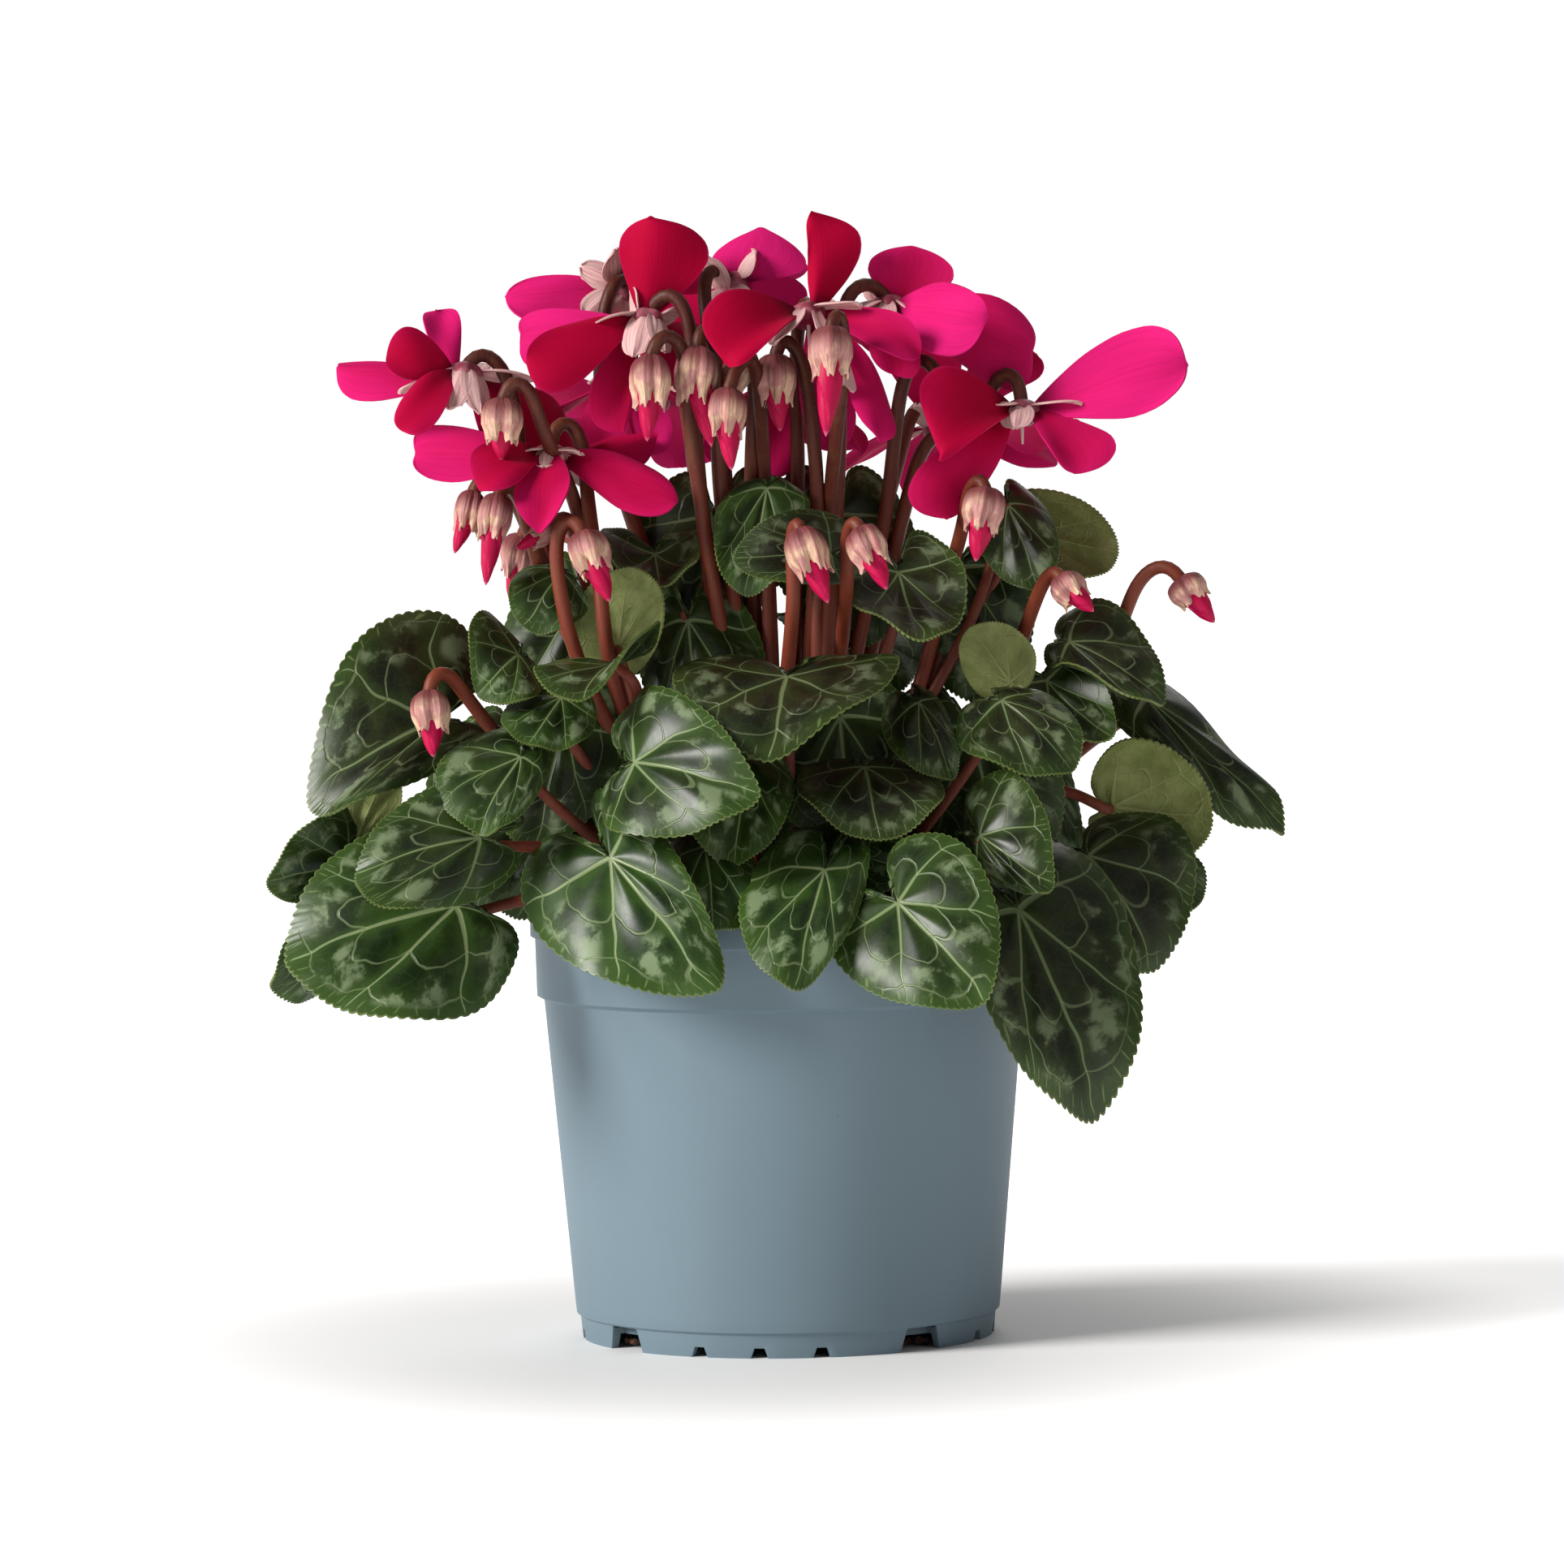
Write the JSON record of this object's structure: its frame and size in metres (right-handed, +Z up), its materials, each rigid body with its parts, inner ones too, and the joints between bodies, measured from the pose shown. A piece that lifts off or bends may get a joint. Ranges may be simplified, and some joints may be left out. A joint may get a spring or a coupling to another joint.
{
  "type": "potted cyclamen",
  "caption": "Flowering cyclamen in a round nursery pot: marbled heart-shaped leaves, deep pink blooms with swept-back petals and nodding buds on brown stems.",
  "frame": {"origin": "centre of the pot's foot ring, on the plane that the pot stands on", "axes": "+Z up along the pot's axis; -Y is the front of the plant, the side that the picture shows; +X to the right in the picture"},
  "size_m": [0.2363, 0.158, 0.266],
  "materials": {
    "pot_plastic": "matte blue-grey moulded plastic",
    "peat": "dark crumbly potting peat",
    "stem_skin": "smooth reddish-brown stems, slightly waxy",
    "leaf_green": "semi-gloss dark green, marbled silver-green with pale veins",
    "petal_red": "soft satin crimson to hot pink"
  },
  "bodies": {
    "root": {"pot": "pot_plastic", "soil": "peat", "crown": "stem_skin", "leaf_01": "leaf_green", "leaf_02": "leaf_green", "leaf_03": "leaf_green", "leaf_04": "leaf_green", "leaf_05": "leaf_green", "leaf_06": "leaf_green", "leaf_07": "leaf_green", "leaf_08": "leaf_green", "leaf_09": "leaf_green", "leaf_10": "leaf_green", "leaf_11": "leaf_green", "leaf_12": "leaf_green", "leaf_14": "leaf_green", "leaf_15": "leaf_green", "leaf_16": "leaf_green", "leaf_17": "leaf_green", "leaf_18": "leaf_green", "leaf_19": "leaf_green", "leaf_20": "leaf_green", "leaf_21": "leaf_green", "leaf_22": "leaf_green", "leaf_23": "leaf_green", "leaf_24": "leaf_green", "leaf_25": "leaf_green", "leaf_26": "leaf_green", "leaf_27": "leaf_green", "leaf_28": "leaf_green", "leaf_29": "leaf_green", "leaf_30": "leaf_green", "leaf_31": "leaf_green", "leaf_32": "leaf_green", "leaf_33": "leaf_green", "leaf_34": "leaf_green", "leaf_35": "leaf_green", "leaf_36": "leaf_green", "leaf_37": "leaf_green", "leaf_38": "leaf_green", "leaf_39": "leaf_green", "leaf_40": "leaf_green", "leaf_41": "leaf_green", "leaf_42": "leaf_green", "leaf_43": "leaf_green", "leaf_44": "leaf_green", "leaf_45": "leaf_green", "bloom_a": "petal_red", "bloom_b": "petal_red", "bloom_c": "petal_red", "bloom_d": "petal_red", "bloom_e": "petal_red", "bloom_f": "petal_red", "bloom_g": "petal_red", "bloom_h": "petal_red", "bloom_i": "petal_red", "bloom_j": "petal_red", "bloom_k": "petal_red", "bloom_l": "petal_red"}
  },
  "joints": []
}
